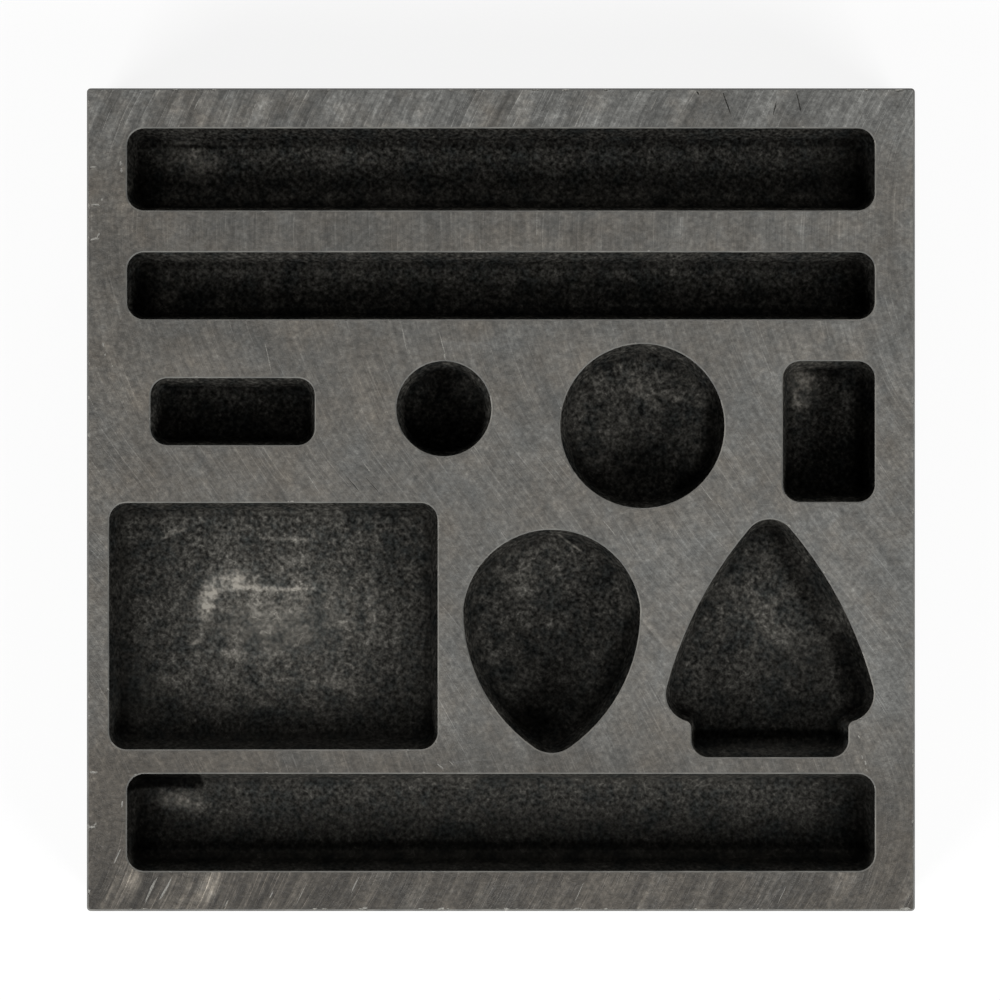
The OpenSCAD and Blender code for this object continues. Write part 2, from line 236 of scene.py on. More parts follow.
class MouldStage(bpy.types.PropertyGroup):
    """Camera, lamps and floor."""
    camera_height: FloatProperty(
        name="Camera height", description="Height of the camera above the face", default=0.9,
        unit="LENGTH")
    picture_width: FloatProperty(
        name="Picture width", description="Width of the picture where the face is",
        default=153.34 * MM, unit="LENGTH")
    lamp_power: FloatProperty(
        name="Lamp power", description="Power of each front lamp", default=5.8,
        unit="POWER")
    sky: FloatProperty(
        name="Sky", description="Strength of the even light from all round", default=0.12)


def add(tree, kind, inputs=None, **settings):
    """Adds a node with its settings, and gives its inputs their values or links."""
    node = tree.nodes.new(kind)
    for name, value in settings.items():
        setattr(node, name, value)
    for name, value in (inputs or {}).items():
        socket = node.inputs[name]
        if isinstance(value, bpy.types.NodeSocket):
            tree.links.new(value, socket)
        else:
            socket.default_value = value
    return node


def new_material(name):
    """A material with only its output, and its tree."""
    material = bpy.data.materials.new(name)
    material.use_nodes = True
    tree = material.node_tree
    tree.nodes.clear()
    return material, tree


def place_in_mm(tree):
    """Object coordinates in millimetres, whole and as x, y and z."""
    coordinates = add(tree, "ShaderNodeTexCoord").outputs["Object"]
    place = add(tree, "ShaderNodeVectorMath", {0: coordinates, 3: 1 / MM}, operation="SCALE")
    split = add(tree, "ShaderNodeSeparateXYZ", {0: place.outputs[0]})
    return place.outputs[0], split.outputs["X"], split.outputs["Y"], split.outputs["Z"]


def spots(tree, place, rows):
    """The sum of soft round or drawn-out spots; each row is x, y, half lengths and turn,
    in mm and degrees, and strength."""
    total = None
    for x, y, half_x, half_y, turn, strength in rows:
        local = add(tree, "ShaderNodeMapping", {
            "Vector": place, "Location": (x, y, 0), "Rotation": (0, 0, math.radians(turn)),
            "Scale": (half_x, half_y, 1000.0)}, vector_type="TEXTURE")
        away = add(tree, "ShaderNodeVectorMath", {0: local.outputs[0]}, operation="LENGTH")
        spot = add(tree, "ShaderNodeMapRange", {
            0: away.outputs["Value"], 1: 1.25, 2: 0.2, 3: 0.0, 4: strength},
            interpolation_type="SMOOTHSTEP").outputs[0]
        total = spot if total is None else add(
            tree, "ShaderNodeMath", {0: total, 1: spot}, operation="ADD").outputs[0]
    return total


def inside(tree, x, y, box, soft):
    """1 inside a box of the face, given as low x, high x, low y and high y, and 0 outside
    it, over a soft edge; sizes in mm."""
    mask = None
    for value, edge, inward in zip((x, x, y, y), box, (soft, -soft, soft, -soft)):
        step = add(tree, "ShaderNodeMapRange", {0: value, 1: edge, 2: edge + inward}).outputs[0]
        mask = step if mask is None else add(
            tree, "ShaderNodeMath", {0: mask, 1: step}, operation="MULTIPLY").outputs[0]
    return mask


def shade(tree, colour, roughness, height, depth, gleam=0.5):
    """The graphite's shader: dry and dark, with a soft grey gleam."""
    bump = add(tree, "ShaderNodeBump", {"Strength": 1.0, "Distance": depth, "Height": height})
    shader = add(tree, "ShaderNodeBsdfPrincipled", {
        "Base Color": colour, "Roughness": roughness, "IOR": 1.6,
        "Specular IOR Level": gleam, "Metallic": 0.0, "Normal": bump.outputs[0]})
    add(tree, "ShaderNodeOutputMaterial", {"Surface": shader.outputs[0]})


def milled_face():
    """Machined graphite, fly cut: the cutter's wide sweeps show as fine pale streaks,
    and handling has left brown stains and dull patches along the front and back."""
    colours = bpy.context.scene.mould_colours
    material, tree = new_material("MachinedGraphiteFlyCutFace")
    place, x, y, _ = place_in_mm(tree)

    # The streaks lean as the cutter's circle does, so x is shifted by a curve of y
    low, high = CUTTER_LEAN[0][0], CUTTER_LEAN[-1][0]
    along = add(tree, "ShaderNodeMapRange", {0: y, 1: low, 2: high, 3: 0.0, 4: 1.0})
    curve = add(tree, "ShaderNodeFloatCurve", {"Value": along.outputs[0]})
    shifts = [0.0]
    for (y0, a0), (y1, a1) in zip(CUTTER_LEAN, CUTTER_LEAN[1:]):
        slope = 1 / math.tan(math.radians((a0 + a1) / 2))
        shifts.append(shifts[-1] + slope * (y1 - y0))
    span = 128.0
    points = curve.mapping.curves[0].points
    for i, ((height, _), shift) in enumerate(zip(CUTTER_LEAN, shifts)):
        at = ((height - low) / (high - low), shift / span + 0.5)
        if i < 2:
            points[i].location = at
        else:
            points.new(*at)
    curve.mapping.update()
    shift = add(tree, "ShaderNodeMath", {0: curve.outputs[0], 1: span}, operation="MULTIPLY")
    # The marks wander by half a millimetre or so over each 20 mm
    wander = add(tree, "ShaderNodeTexNoise", {
        "Vector": place, "Scale": 0.05, "Detail": 1.0}).outputs["Fac"]
    wander = add(tree, "ShaderNodeMath", {0: wander, 1: 3.0, 2: shift.outputs[0]},
                 operation="MULTIPLY_ADD")
    across = add(tree, "ShaderNodeMath", {0: x, 1: wander.outputs[0]}, operation="SUBTRACT")

    def streaks(width, length, detail, roughness):
        """Noise drawn out along the cutter's marks; width and length in mm."""
        wide = add(tree, "ShaderNodeMath", {0: across.outputs[0], 1: 1 / width},
                   operation="MULTIPLY")
        long = add(tree, "ShaderNodeMath", {0: y, 1: 1 / length}, operation="MULTIPLY")
        vector = add(tree, "ShaderNodeCombineXYZ", {0: wide.outputs[0], 1: long.outputs[0]})
        return add(tree, "ShaderNodeTexNoise", {
            "Vector": vector.outputs[0], "Scale": 1.0, "Detail": detail,
            "Roughness": roughness}, noise_dimensions="2D").outputs["Fac"]

    # Broad sweeps 2.6 mm wide, strokes of 0.5 mm, grain of every size from 0.2 to 8 mm,
    # and fine grain of 0.2 to 0.8 mm
    sweeps = streaks(2.6, 24.0, 2.0, 0.5)
    strokes = streaks(0.55, 9.0, 2.0, 0.8)
    # Hairline scratches a quarter of a millimetre wide and some 10 mm long, thinly sown
    hairs = add(tree, "ShaderNodeMapRange", {
        0: streaks(0.28, 12.0, 0.0, 0.5), 1: 0.71, 2: 0.86, 3: 0.5, 4: 1.5})
    grain = add(tree, "ShaderNodeTexNoise", {
        "Vector": place, "Scale": 0.13, "Detail": 6.0, "Roughness": 0.92}).outputs["Fac"]
    fine = add(tree, "ShaderNodeTexNoise", {
        "Vector": place, "Scale": 1.25, "Detail": 2.0, "Roughness": 0.8}).outputs["Fac"]
    hue = add(tree, "ShaderNodeTexNoise", {
        "Vector": place, "Scale": 0.11, "Detail": 4.0, "Roughness": 0.75}).outputs["Fac"]

    # The strips along the front and back are streakier, and the front one is browner
    from_middle = add(tree, "ShaderNodeMath", {0: y}, operation="ABSOLUTE")
    strip = add(tree, "ShaderNodeMapRange", {0: from_middle.outputs[0], 1: 53.0, 2: 59.0},
                interpolation_type="SMOOTHSTEP").outputs[0]
    front = add(tree, "ShaderNodeMapRange", {0: y, 1: -28.0, 2: -54.0},
                interpolation_type="SMOOTHSTEP").outputs[0]
    back = add(tree, "ShaderNodeMapRange", {0: y, 1: 48.0, 2: 60.0},
               interpolation_type="SMOOTHSTEP").outputs[0]
    left = add(tree, "ShaderNodeMapRange", {0: x, 1: -48.0, 2: -58.0},
               interpolation_type="SMOOTHSTEP").outputs[0]
    handled = add(tree, "ShaderNodeMath", {0: strip, 1: left}, operation="MAXIMUM").outputs[0]
    back_left = add(tree, "ShaderNodeVectorMath", {0: place, 1: (-0.0022, 0.0012, 0.0)},
                    operation="DOT_PRODUCT").outputs["Value"]

    # The marks are boldest in the front left corner, and weaker in the back right one
    corner = spots(tree, place, ((-46.0, -60.0, 24.0, 7.0, 0, 1.5),
                                 (40.0, 60.0, 34.0, 8.0, 0, -0.45)))
    strip = add(tree, "ShaderNodeMath", {0: strip, 1: corner}, operation="ADD").outputs[0]

    # The tone is the exponent of a sum, so that it never falls below nothing
    bold_sweeps = add(tree, "ShaderNodeMapRange", {0: strip, 3: 0.6, 4: 1.5}, clamp=False)
    bold_strokes = add(tree, "ShaderNodeMapRange", {0: strip, 3: 0.7, 4: 1.2}, clamp=False)
    bold_fine = add(tree, "ShaderNodeMapRange", {0: handled, 3: 1.7, 4: 2.0})
    bold_hairs = add(tree, "ShaderNodeMapRange", {0: strip, 3: 0.3, 4: 0.65}, clamp=False)
    tone = add(tree, "ShaderNodeMath", {0: grain, 1: 1.5, 2: 0.02 - 0.75},
               operation="MULTIPLY_ADD").outputs[0]
    for noise, gain in ((sweeps, bold_sweeps), (strokes, bold_strokes), (fine, bold_fine),
                        (hairs.outputs[0], bold_hairs)):
        level = add(tree, "ShaderNodeMath", {0: noise, 1: 0.5}, operation="SUBTRACT")
        tone = add(tree, "ShaderNodeMath", {0: level.outputs[0], 1: gain.outputs[0], 2: tone},
                   operation="MULTIPLY_ADD").outputs[0]
    marks = tone
    for level, gain in ((front, -0.62), (back, 0.14), (spots(tree, place, SMEARS), 1.0)):
        tone = add(tree, "ShaderNodeMath", {0: level, 1: gain, 2: tone},
                   operation="MULTIPLY_ADD").outputs[0]
    tone = add(tree, "ShaderNodeMath", {0: tone, 1: back_left}, operation="SUBTRACT")
    tone = add(tree, "ShaderNodeMath", {0: tone.outputs[0]}, operation="EXPONENT")

    warm = add(tree, "ShaderNodeMapRange", {0: hue, 1: 0.35, 2: 0.78})
    for level, gain in ((front, 0.7), (back, -0.35)):
        warm = add(tree, "ShaderNodeMath", {0: level, 1: gain, 2: warm.outputs[0]},
                   operation="MULTIPLY_ADD")
    warm = add(tree, "ShaderNodeMath", {0: back_left, 1: 1.2, 2: warm.outputs[0]},
               operation="MULTIPLY_ADD", use_clamp=True)
    stained = add(tree, "ShaderNodeMix", {
        0: warm.outputs[0], 6: rgba(colours.face), 7: rgba(colours.face_stain),
    }, data_type="RGBA").outputs[2]
    toned = add(tree, "ShaderNodeVectorMath", {0: stained, 3: tone.outputs[0]},
                operation="SCALE").outputs[0]
    rough = add(tree, "ShaderNodeMapRange", {0: hue, 1: 0.35, 2: 0.65, 3: 0.5, 4: 0.6})
    shade(tree, toned, rough.outputs[0], marks, 0.06 * MM)
    return material


def cavity_surface():
    """Machined graphite inside the cavities: sooty and darker than the face, with pale
    specks of the bared grain, places rubbed pale by the castings, and painted light and
    shade on the floors and walls."""
    colours = bpy.context.scene.mould_colours
    material, tree = new_material("MachinedGraphiteCavity")
    place, x, y, z = place_in_mm(tree)
    # Specks 0.2 to 0.6 mm across, which the cutter has drawn out to three times their
    # length down the walls; the shift only chooses which part of the pattern shows
    drawn = add(tree, "ShaderNodeVectorMath", {
        0: place, 1: (1.0, 1.0, 0.3), 2: (0.0, 0.0, 1.25)}, operation="MULTIPLY_ADD").outputs[0]
    # The pattern is turned away from the block's axes, so that the specks aren't in rows
    turned = add(tree, "ShaderNodeMapping", {
        "Vector": drawn, "Rotation": [math.radians(angle) for angle in (34, 21, 40)],
    }).outputs[0]
    speck = add(tree, "ShaderNodeTexNoise", {
        "Vector": turned, "Scale": 1.6, "Detail": 1.5, "Roughness": 0.65}).outputs["Fac"]
    # Drifts of specks some 1 to 5 mm wide
    drift = add(tree, "ShaderNodeTexNoise", {
        "Vector": drawn, "Scale": 0.2, "Detail": 3.0, "Roughness": 0.85}).outputs["Fac"]

    # Curls, thin pale lines about 0.3 mm wide that skin and slag have scored in the soot
    swirl = add(tree, "ShaderNodeTexNoise", {
        "Vector": place, "Scale": 0.3, "Detail": 2.0, "Roughness": 0.6, "Distortion": 0.5,
    }).outputs["Fac"]
    off_line = add(tree, "ShaderNodeMath", {0: swirl, 1: 0.5}, operation="SUBTRACT")
    off_line = add(tree, "ShaderNodeMath", {0: off_line.outputs[0]}, operation="ABSOLUTE")
    curl = add(tree, "ShaderNodeMapRange", {0: off_line.outputs[0], 1: 0.02, 2: 0.005})
    broken = add(tree, "ShaderNodeMapRange", {0: drift, 1: 0.47, 2: 0.56})
    curl = add(tree, "ShaderNodeMath", {0: curl.outputs[0], 1: broken.outputs[0]},
               operation="MULTIPLY").outputs[0]

    # The walls are painted darker than the floor, darkest low down in their rounded foot:
    # painted shade on the walls and in the corner. The floor is at half the block's height,
    # and the rounding ends 1.5 mm above it
    floor_z = FACE_Z / MM / 2
    wall_shade = add(tree, "ShaderNodeMapRange", {0: z, 1: floor_z + 0.004, 2: floor_z + 0.14})
    wall = add(tree, "ShaderNodeMapRange", {0: z, 1: floor_z + 0.9, 2: floor_z + 2.5})

    # Rubbed wear with painted light and shade, broken up by the drifts
    uneven = add(tree, "ShaderNodeMapRange", {0: drift, 1: 0.38, 2: 0.6, 3: 0.75, 4: 1.15})
    painted_light_and_rubbing = add(tree, "ShaderNodeMath", {
        0: spots(tree, place, PAINTED_LIGHT_AND_RUBBING), 1: uneven.outputs[0]},
                 operation="MULTIPLY").outputs[0]
    # Soot and painted shade on the walls
    wall_soot_and_shade = spots(tree, place, WALL_SOOT_AND_PAINTED_SHADE)

    # Turns of the cutter's path on the large floor, painted as pale rings round its
    # middle: a painted glint off the path
    outs = []
    for value, middle, half in zip((x, y), SLAB_PATH_MIDDLE, SLAB_PATH_BAR):
        out = add(tree, "ShaderNodeMath", {0: value, 1: middle}, operation="SUBTRACT")
        out = add(tree, "ShaderNodeMath", {0: out.outputs[0]}, operation="ABSOLUTE")
        out = add(tree, "ShaderNodeMath", {0: out.outputs[0], 1: half}, operation="SUBTRACT")
        outs.append(add(tree, "ShaderNodeMath", {0: out.outputs[0], 1: 0.0},
                        operation="MAXIMUM").outputs[0])
    away = add(tree, "ShaderNodeCombineXYZ", {0: outs[0], 1: outs[1]})
    away = add(tree, "ShaderNodeVectorMath", {0: away.outputs[0]}, operation="LENGTH")
    wander = add(tree, "ShaderNodeMath", {0: drift, 1: 1.6, 2: away.outputs["Value"]},
                 operation="MULTIPLY_ADD")
    turn = add(tree, "ShaderNodeMath", {0: wander.outputs[0], 1: SLAB_PATH_FIRST + 0.8},
               operation="SUBTRACT")
    turn = add(tree, "ShaderNodeMath", {0: turn.outputs[0], 1: 2 * math.pi / SLAB_PATH_STEP},
               operation="MULTIPLY")
    groove = add(tree, "ShaderNodeMath", {0: turn.outputs[0]}, operation="COSINE")
    groove = add(tree, "ShaderNodeMapRange", {0: groove.outputs[0], 1: 0.6, 2: 1.0})
    path = groove.outputs[0]
    on_slab = inside(tree, x, y, SLAB_BOX, 1.0)
    for mask in (on_slab, drift):
        path = add(tree, "ShaderNodeMath", {0: path, 1: mask}, operation="MULTIPLY").outputs[0]
    dark_wall = inside(tree, x, y, DARK_WALL_BOX, 0.5)

    # The specks grow sharper towards the back, and the three bars have weaker drifts
    from_middle = add(tree, "ShaderNodeMath", {0: y}, operation="ABSOLUTE").outputs[0]
    sharp = add(tree, "ShaderNodeMapRange", {0: y, 1: -50.0, 2: 50.0, 3: 1.3, 4: 1.75})
    drifting = add(tree, "ShaderNodeMapRange", {
        0: from_middle, 1: 24.0, 2: 44.0, 3: 3.4, 4: 1.5})
    drifting = add(tree, "ShaderNodeMath", {0: on_slab, 1: -1.0, 2: drifting.outputs[0]},
                   operation="MULTIPLY_ADD")

    # The tone is the exponent of a sum, times the specks, which stand out of the dark
    # Painted shade darkens the walls, most at their foot; the gains add the rubbed wear with painted light
    # and shade, the walls' soot and painted shade, the slab path's painted glint, the far wall's black piece
    # and the curls
    tone = add(tree, "ShaderNodeMath", {0: wall_shade.outputs[0], 1: -0.55, 2: 0.4},
               operation="MULTIPLY_ADD").outputs[0]
    for level, gain in ((wall.outputs[0], 0.1), (painted_light_and_rubbing, 1.5), (wall_soot_and_shade, 1.2), (path, 0.34),
                        (dark_wall, -1.6), (curl, 0.45)):
        tone = add(tree, "ShaderNodeMath", {0: level, 1: gain, 2: tone},
                   operation="MULTIPLY_ADD").outputs[0]
    clouds = add(tree, "ShaderNodeMath", {0: drift, 1: 0.5}, operation="SUBTRACT")
    tone = add(tree, "ShaderNodeMath", {
        0: clouds.outputs[0], 1: drifting.outputs[0], 2: tone}, operation="MULTIPLY_ADD")
    tone = add(tree, "ShaderNodeMath", {0: tone.outputs[0]}, operation="EXPONENT")
    # The specks are smeared in the rubbed places and the painted light and shade, in the
    # smoothed places and on the walls
    for level, gain in ((painted_light_and_rubbing, -0.7), (spots(tree, place, SMOOTHED), -0.8),
                        (wall_shade.outputs[0], -0.2)):
        sharp = add(tree, "ShaderNodeMath", {0: level, 1: gain, 2: sharp.outputs[0]},
                    operation="MULTIPLY_ADD")
    lift = add(tree, "ShaderNodeMath", {0: speck, 1: 0.5}, operation="SUBTRACT")
    lift = add(tree, "ShaderNodeMath", {0: lift.outputs[0], 1: sharp.outputs[0], 2: 1.0},
               operation="MULTIPLY_ADD")
    lift = add(tree, "ShaderNodeMath", {0: lift.outputs[0], 1: 0.1}, operation="MAXIMUM")
    lift = add(tree, "ShaderNodeMath", {0: lift.outputs[0], 1: 3.0}, operation="POWER")
    tone = add(tree, "ShaderNodeMath", {0: tone.outputs[0], 1: lift.outputs[0]},
               operation="MULTIPLY")
    tone = add(tree, "ShaderNodeMath", {0: tone.outputs[0], 1: 9.0}, operation="MINIMUM")
    cool = add(tree, "ShaderNodeMapRange", {0: drift, 1: 0.52, 2: 0.34})
    colour = add(tree, "ShaderNodeMix", {
        0: cool.outputs[0], 6: rgba(colours.cavity), 7: rgba(colours.cavity_cool),
    }, data_type="RGBA").outputs[2]
    # The paler places take the pale colour: rubbed wear and painted highlights
    pale = add(tree, "ShaderNodeMath", {0: painted_light_and_rubbing, 1: 0.5}, operation="MULTIPLY", use_clamp=True)
    colour = add(tree, "ShaderNodeMix", {
        0: pale.outputs[0], 6: colour, 7: rgba(colours.cavity_rubbed_and_lit),
    }, data_type="RGBA").outputs[2]
    colour = add(tree, "ShaderNodeVectorMath", {0: colour, 3: tone.outputs[0]},
                 operation="SCALE").outputs[0]
    # Loose soot is matt, so it has no gleam, and the steep walls show their colour with its
    # painted shade
    relief = add(tree, "ShaderNodeMath", {0: curl, 1: 0.5, 2: speck}, operation="MULTIPLY_ADD")
    shade(tree, colour, 0.95, relief.outputs[0], 0.08 * MM, gleam=0.0)
    return material


def sawn_side():
    """Machined graphite on the block's sides and underside, face milled in straight
    passes: fine level lines with a soft grain."""
    material, tree = new_material("MachinedGraphiteSide")
    place, x, y, z = place_in_mm(tree)
    # Feed marks 0.5 mm apart, broken by grain, run round the block, and along x on its
    # underside
    along = add(tree, "ShaderNodeMath", {0: x, 1: 0.05}, operation="MULTIPLY")
    across = add(tree, "ShaderNodeMapRange", {0: z, 1: 0.3, 2: 0.25, 3: 0.05, 4: 2.0})
    across = add(tree, "ShaderNodeMath", {0: y, 1: across.outputs[0]}, operation="MULTIPLY")
    level = add(tree, "ShaderNodeMath", {0: z, 1: 2.0}, operation="MULTIPLY")
    marks = add(tree, "ShaderNodeCombineXYZ", {
        0: along.outputs[0], 1: across.outputs[0], 2: level.outputs[0]})
    lines = add(tree, "ShaderNodeTexNoise", {
        "Vector": marks.outputs[0], "Scale": 1.0, "Detail": 4.0, "Roughness": 0.6,
    }).outputs["Fac"]
    clouds = add(tree, "ShaderNodeTexNoise", {
        "Vector": place, "Scale": 0.12, "Detail": 4.0, "Roughness": 0.6}).outputs["Fac"]
    grain = add(tree, "ShaderNodeTexNoise", {
        "Vector": place, "Scale": 3.0, "Detail": 3.0, "Roughness": 0.7}).outputs["Fac"]
    tone = add(tree, "ShaderNodeMix", {0: 0.45, 2: lines, 3: grain},
               data_type="FLOAT").outputs[0]
    tone = add(tree, "ShaderNodeMix", {0: 0.35, 2: tone, 3: clouds},
               data_type="FLOAT").outputs[0]
    tone = add(tree, "ShaderNodeMapRange", {0: tone, 1: 0.35, 2: 0.68}).outputs[0]
    colour = add(tree, "ShaderNodeMix", {
        0: tone, 6: rgba(linear("#4b4945")), 7: rgba(linear("#7a7771")),
    }, data_type="RGBA").outputs[2]
    shade(tree, colour, 0.55, tone, 0.03 * MM)
    return material


def burnished_rim(name, least, most):
    """Graphite rubbed to a gleam, on the bevels round the block and the cavities: its share of
    fresh graphite runs between the two values; on the lips the higher share is a painted
    highlight."""
    colours = bpy.context.scene.mould_colours
    material, tree = new_material(name)
    place, *_ = place_in_mm(tree)
    # Wear comes and goes along a rim every 4 mm or so
    worn = add(tree, "ShaderNodeTexNoise", {
        "Vector": place, "Scale": 0.25, "Detail": 4.0, "Roughness": 0.7}).outputs["Fac"]
    worn = add(tree, "ShaderNodeMapRange", {
        0: worn, 1: 0.35, 2: 0.7, 3: least, 4: most}).outputs[0]
    colour = add(tree, "ShaderNodeMix", {
        0: worn, 6: rgba(colours.face), 7: rgba(colours.fresh),
    }, data_type="RGBA").outputs[2]
    rough = add(tree, "ShaderNodeMapRange", {0: worn, 3: 0.5, 4: 0.36}).outputs[0]
    shade(tree, colour, rough, worn, 0.01 * MM)
    return material


def fresh_graphite():
    """Graphite bared by chips and scratches: paler, with a crumbly grain."""
    colours = bpy.context.scene.mould_colours
    material, tree = new_material("FreshGraphiteChip")
    place, *_ = place_in_mm(tree)
    # Crumbs about 0.2 mm across
    crumb = add(tree, "ShaderNodeTexNoise", {
        "Vector": place, "Scale": 5.0, "Detail": 3.0, "Roughness": 0.7}).outputs["Fac"]
    spread = add(tree, "ShaderNodeMapRange", {0: crumb, 1: 0.3, 2: 0.7}).outputs[0]
    colour = add(tree, "ShaderNodeMix", {
        0: spread, 6: rgba(colours.face), 7: rgba(colours.fresh),
    }, data_type="RGBA").outputs[2]
    shade(tree, colour, 0.6, crumb, 0.05 * MM)
    return material


def surface_kind(face):
    """Which of the block's surfaces a face of the CAD solid belongs to."""
    middle = face.calc_center_median()
    bevel = 0.31 * MM
    level = abs(face.normal.z)
    near_side = min(HALF_WIDTH - abs(middle.x), HALF_DEPTH - abs(middle.y))
    if middle.z > FACE_Z - 0.01 * MM:
        return FACE
    if near_side < bevel and 0.2 < level < 0.9:
        return RIM
    if near_side < bevel or middle.z < 0.01 * MM:
        return OUTSIDE
    if middle.z > FACE_Z - bevel and level > 0.2:
        # The front and right lips, whose bevels face back and to the left, are painted paler: a
        # painted highlight
        return LIP_HIGHLIGHT if face.normal.y - 0.5 * face.normal.x > 0.1 else RIM
    return CAVITY


def chip_cutter(cutters, rng, place, half_sizes, direction, kind=CHIP):
    """Adds one rough pebble to the cutters, laid along the direction."""
    pebble = bmesh.ops.create_icosphere(cutters, subdivisions=2, radius=1.0)["verts"]
    for face in {face for vert in pebble for face in vert.link_faces}:
        face.material_index = kind
    for vert in pebble:
        vert.co *= rng.uniform(0.6, 1.15)
    turn = Matrix.Rotation(direction, 4, "Z") @ Matrix.Rotation(rng.uniform(-0.2, 0.2), 4, "X")
    bmesh.ops.scale(cutters, vec=half_sizes, verts=pebble)
    bmesh.ops.transform(cutters, matrix=Matrix.Translation(place) @ turn, verts=pebble)


def wear_cutters(block, rng, wear):
    """One mesh of pebbles and slivers that cut the chips, nicks and scratches."""
    cutters = bmesh.new()
    rims, edges = [], []
    for edge in block.edges:
        kinds = {face.material_index for face in edge.link_faces}
        if FACE in kinds and kinds & {RIM, LIP_HIGHLIGHT}:
            middle = (edge.verts[0].co + edge.verts[1].co) / 2
            outer = min(HALF_WIDTH - abs(middle.x), HALF_DEPTH - abs(middle.y)) < 1.0 * MM
            (edges if outer else rims).append(edge)
    for group, count, size in ((edges, wear.edge_chips, 1.0), (rims, wear.rim_chips, 0.6)):
        lengths = [edge.calc_length() for edge in group]
        for edge in rng.choices(group, weights=lengths, k=count):
            start, end = (vert.co for vert in edge.verts)
            run = end - start
            long = wear.chip_length * size * rng.uniform(0.4, 1.5)
            wide = long * rng.uniform(0.35, 0.6)
            place = start.lerp(end, rng.random()) - Vector((0, 0, 0.05 * MM))
            chip_cutter(cutters, rng, place, (long, wide, wide * 0.7),
                        math.atan2(run.y, run.x))
    for x, y, long, wide, deep, angle in NICKS:
        chip_cutter(cutters, rng, Vector((x, y, FACE_Z / MM)) * MM,
                    (long * MM, wide * MM, deep * MM), math.radians(angle))
    for marks, kind in ((SCRATCHES, CHIP), (CRACKS, CAVITY)):
        for x, y, long, wide, angle in marks:
            groove = 0.3 * wide * MM
            chip_cutter(cutters, rng, Vector((x * MM, y * MM, FACE_Z + 0.35 * groove)),
                        (long / 2 * MM, wide / 2 * MM, groove), math.radians(angle), kind)
    bmesh.ops.recalc_face_normals(cutters, faces=cutters.faces)
    return cutters


class MOULD_OT_block(bpy.types.Operator):
    """Finish the milled block: chips, nicks and scratches"""
    bl_idname = "mould.block"
    bl_label = "Milled Block"

    def execute(self, context):
        wear = context.scene.mould_wear
        rng = random.Random(wear.seed)
        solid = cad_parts[BLOCK].data.copy()
        if "custom_normal" in solid.attributes:
            solid.attributes.remove(solid.attributes["custom_normal"])
        block = bmesh.new()
        block.from_mesh(solid)
        bpy.data.meshes.remove(solid)
        bmesh.ops.remove_doubles(block, verts=block.verts, dist=0.001 * MM)
        for face in block.faces:
            face.material_index = surface_kind(face)
        cutters = wear_cutters(block, rng, wear)

        volume = block.calc_volume()
        mesh = bpy.data.meshes.new("milled_block")
        block.to_mesh(mesh)
        piece = bpy.data.objects.new("milled_block", mesh)
        cutter_mesh = bpy.data.meshes.new("wear_cutters")
        cutters.to_mesh(cutter_mesh)
        cutter = bpy.data.objects.new("wear_cutters", cutter_mesh)
        block.free()
        cutters.free()
        materials = (milled_face(), cavity_surface(), sawn_side(),
                     burnished_rim("BurnishedGraphiteRim", 0.0, 0.35),
                     # The lips' wide share of fresh graphite is a painted highlight
                     burnished_rim("BurnishedGraphiteLipPaintedHighlight", 0.35, 1.0), fresh_graphite())
        for material in materials:
            mesh.materials.append(material)
            cutter_mesh.materials.append(material)
        for made in (piece, cutter):
            context.collection.objects.link(made)

        cut = piece.modifiers.new("Wear", "BOOLEAN")
        cut.operation, cut.solver, cut.object = "DIFFERENCE", "EXACT", cutter
        cut.use_self = True
        cut.material_mode = "INDEX"
        worn = bpy.data.meshes.new_from_object(
            piece.evaluated_get(context.evaluated_depsgraph_get()))
        piece.modifiers.clear()
        piece.data = worn
        bpy.data.objects.remove(cutter)
        finished = bmesh.new()
        finished.from_mesh(worn)
        bmesh.ops.triangulate(finished, faces=finished.faces)
        left = finished.calc_volume() / volume
        if not 0.999 < left < 1 or any(len(e.link_faces) != 2 for e in finished.edges):
            raise RuntimeError("the wear cuts left the block open, or took too much of it")
        finished.to_mesh(worn)
        finished.free()
        flat = (FACE, OUTSIDE)
        for face in worn.polygons:
            level = abs(face.normal.z) > 0.9999
            face.use_smooth = not level and face.material_index not in flat
        worn.set_sharp_from_angle(angle=math.radians(28))
        worn.name = "milled_block"

        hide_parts(BLOCK)
        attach(piece, "root")
        return {"FINISHED"}


def floor_card():
    """Pale card: white to the camera where it is lit, and it keeps the block's shadow."""
    material, tree = new_material("PaleCardFloor")
    card = add(tree, "ShaderNodeBsdfDiffuse", {"Color": rgba(linear("#7a7a7a"))})
    glow = add(tree, "ShaderNodeEmission", {"Color": (1, 1, 1, 1), "Strength": 0.87})
    path = add(tree, "ShaderNodeLightPath")
    seen = add(tree, "ShaderNodeMath", {
        0: path.outputs["Is Camera Ray"], 1: path.outputs["Is Glossy Ray"]},
        operation="ADD", use_clamp=True)
    seen = add(tree, "ShaderNodeMath", {
        0: seen.outputs[0], 1: path.outputs["Is Transmission Ray"]},
        operation="ADD", use_clamp=True)
    off = add(tree, "ShaderNodeEmission", {"Strength": 0.0})
    shown = add(tree, "ShaderNodeMixShader", {
        0: seen.outputs[0], 1: off.outputs[0], 2: glow.outputs[0]})
    both = add(tree, "ShaderNodeAddShader", {0: card.outputs[0], 1: shown.outputs[0]})
    add(tree, "ShaderNodeOutputMaterial", {"Surface": both.outputs[0]})
    return material


def soft_lamp(name, place, aim, size, power):
    """A square soft lamp that faces the aim."""
    light = bpy.data.lights.new(name, "AREA")
    light.energy = power
    light.shape = "SQUARE"
    light.size = size
    lamp = bpy.data.objects.new(name, light)
    lamp.location = place
    lamp.rotation_euler = (Vector(aim) - Vector(place)).to_track_quat("-Z", "Y").to_euler()
    bpy.context.collection.objects.link(lamp)


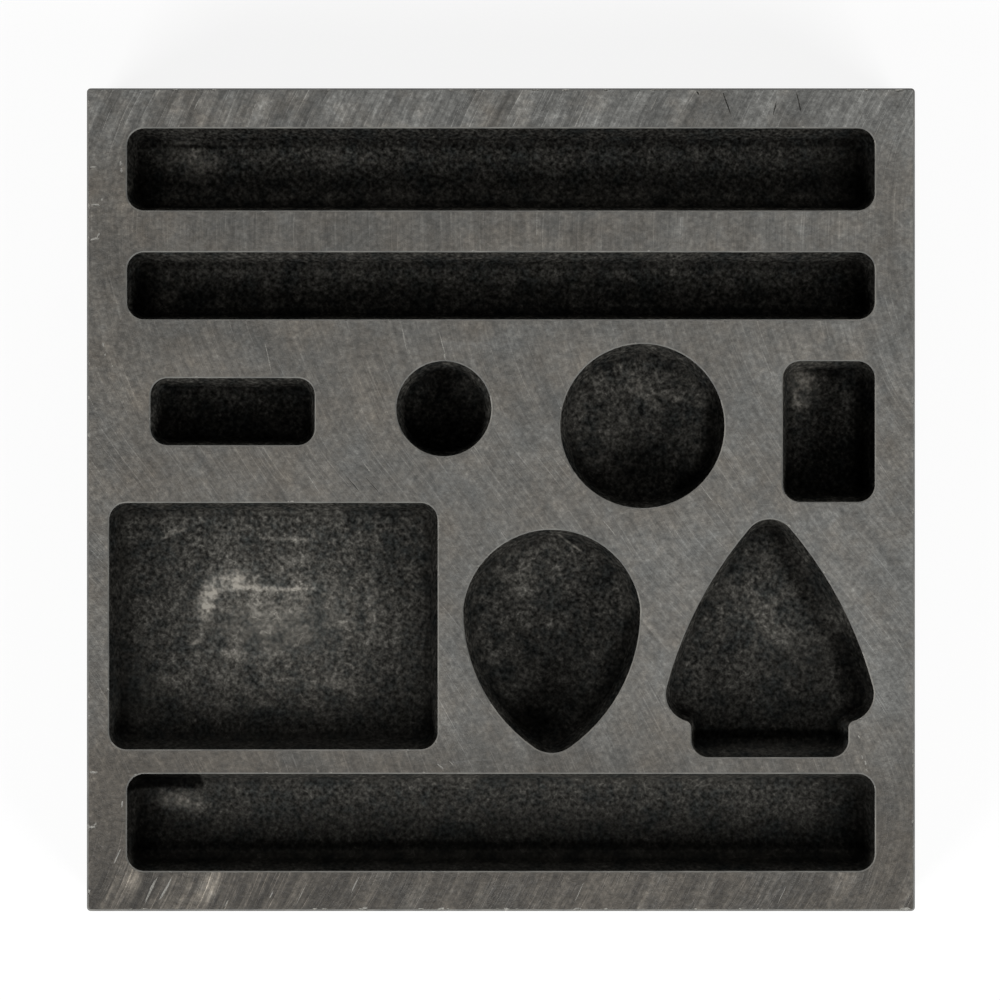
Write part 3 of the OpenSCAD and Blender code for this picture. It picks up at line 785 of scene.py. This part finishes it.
class MOULD_OT_stage(bpy.types.Operator):
    """Set up the pale floor, the two soft lamps, the sky and the camera"""
    bl_idname = "mould.stage"
    bl_label = "Stage"

    def execute(self, context):
        scene = context.scene
        stage = scene.mould_stage
        plane = bmesh.new()
        bmesh.ops.create_grid(plane, x_segments=1, y_segments=1, size=3.0)
        mesh = bpy.data.meshes.new("floor")
        plane.to_mesh(mesh)
        plane.free()
        mesh.materials.append(floor_card())
        floor = bpy.data.objects.new("floor", mesh)
        floor.location.z = CAD_LOW.z - 0.02 * MM
        context.collection.objects.link(floor)

        # Two lamps stand in front, so the cavities' far walls are lit, and a weak one
        # low behind lights their near walls and lips
        for name, place, size, share in (
                ("lamp_left", (-0.6, -0.5, 0.63), 0.5, 1.0),
                ("lamp_right", (0.6, -0.5, 0.63), 0.5, 1.0),
                ("lamp_back", (0.0, 0.8, 0.3), 0.4, 0.18)):
            soft_lamp(name, place, (0, 0, FACE_Z), size, stage.lamp_power * share)

        world = bpy.data.worlds.new("sky")
        world.use_nodes = True
        tree = world.node_tree
        tree.nodes.clear()
        path = add(tree, "ShaderNodeLightPath")
        strength = add(tree, "ShaderNodeMapRange", {
            0: path.outputs["Is Camera Ray"], 3: stage.sky, 4: 1.0})
        sky = add(tree, "ShaderNodeBackground", {
            "Color": (1, 1, 1, 1), "Strength": strength.outputs[0]})
        add(tree, "ShaderNodeOutputWorld", {"Surface": sky.outputs[0]})
        scene.world = world
        scene.view_settings.view_transform = "Standard"

        data = bpy.data.cameras.new("camera")
        data.sensor_width = 36.0
        data.lens = data.sensor_width * stage.camera_height / stage.picture_width
        data.clip_start, data.clip_end = 0.01, 20.0
        camera = bpy.data.objects.new("camera", data)
        camera.location = (-0.14 * MM, -0.05 * MM, FACE_Z + stage.camera_height)
        context.collection.objects.link(camera)
        scene.camera = camera
        return {"FINISHED"}


class MOULD_PT_panel(bpy.types.Panel):
    """Buttons and settings for the mould"""
    bl_label = "Graphite Casting Mould"
    bl_space_type = "VIEW_3D"
    bl_region_type = "UI"
    bl_category = "Mould"

    def draw(self, context):
        layout = self.layout
        for operator in OPERATORS:
            layout.operator(operator.bl_idname)
        for name in SETTINGS:
            group = getattr(context.scene, name)
            box = layout.box()
            for key in group.__annotations__:
                box.prop(group, key)


OPERATORS = (MOULD_OT_block, MOULD_OT_stage)
SETTINGS = {"mould_wear": MouldWear, "mould_colours": MouldColours, "mould_stage": MouldStage}
CLASSES = (*SETTINGS.values(), *OPERATORS, MOULD_PT_panel)


def register():
    for cls in CLASSES:
        bpy.utils.register_class(cls)
    for name, group in SETTINGS.items():
        setattr(bpy.types.Scene, name, PointerProperty(type=group))


def unregister():
    for name in SETTINGS:
        delattr(bpy.types.Scene, name)
    for cls in reversed(CLASSES):
        bpy.utils.unregister_class(cls)


def main():
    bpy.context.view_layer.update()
    register()
    bpy.ops.mould.block()
    bpy.ops.mould.stage()


if __name__ == "__main__":
    main()
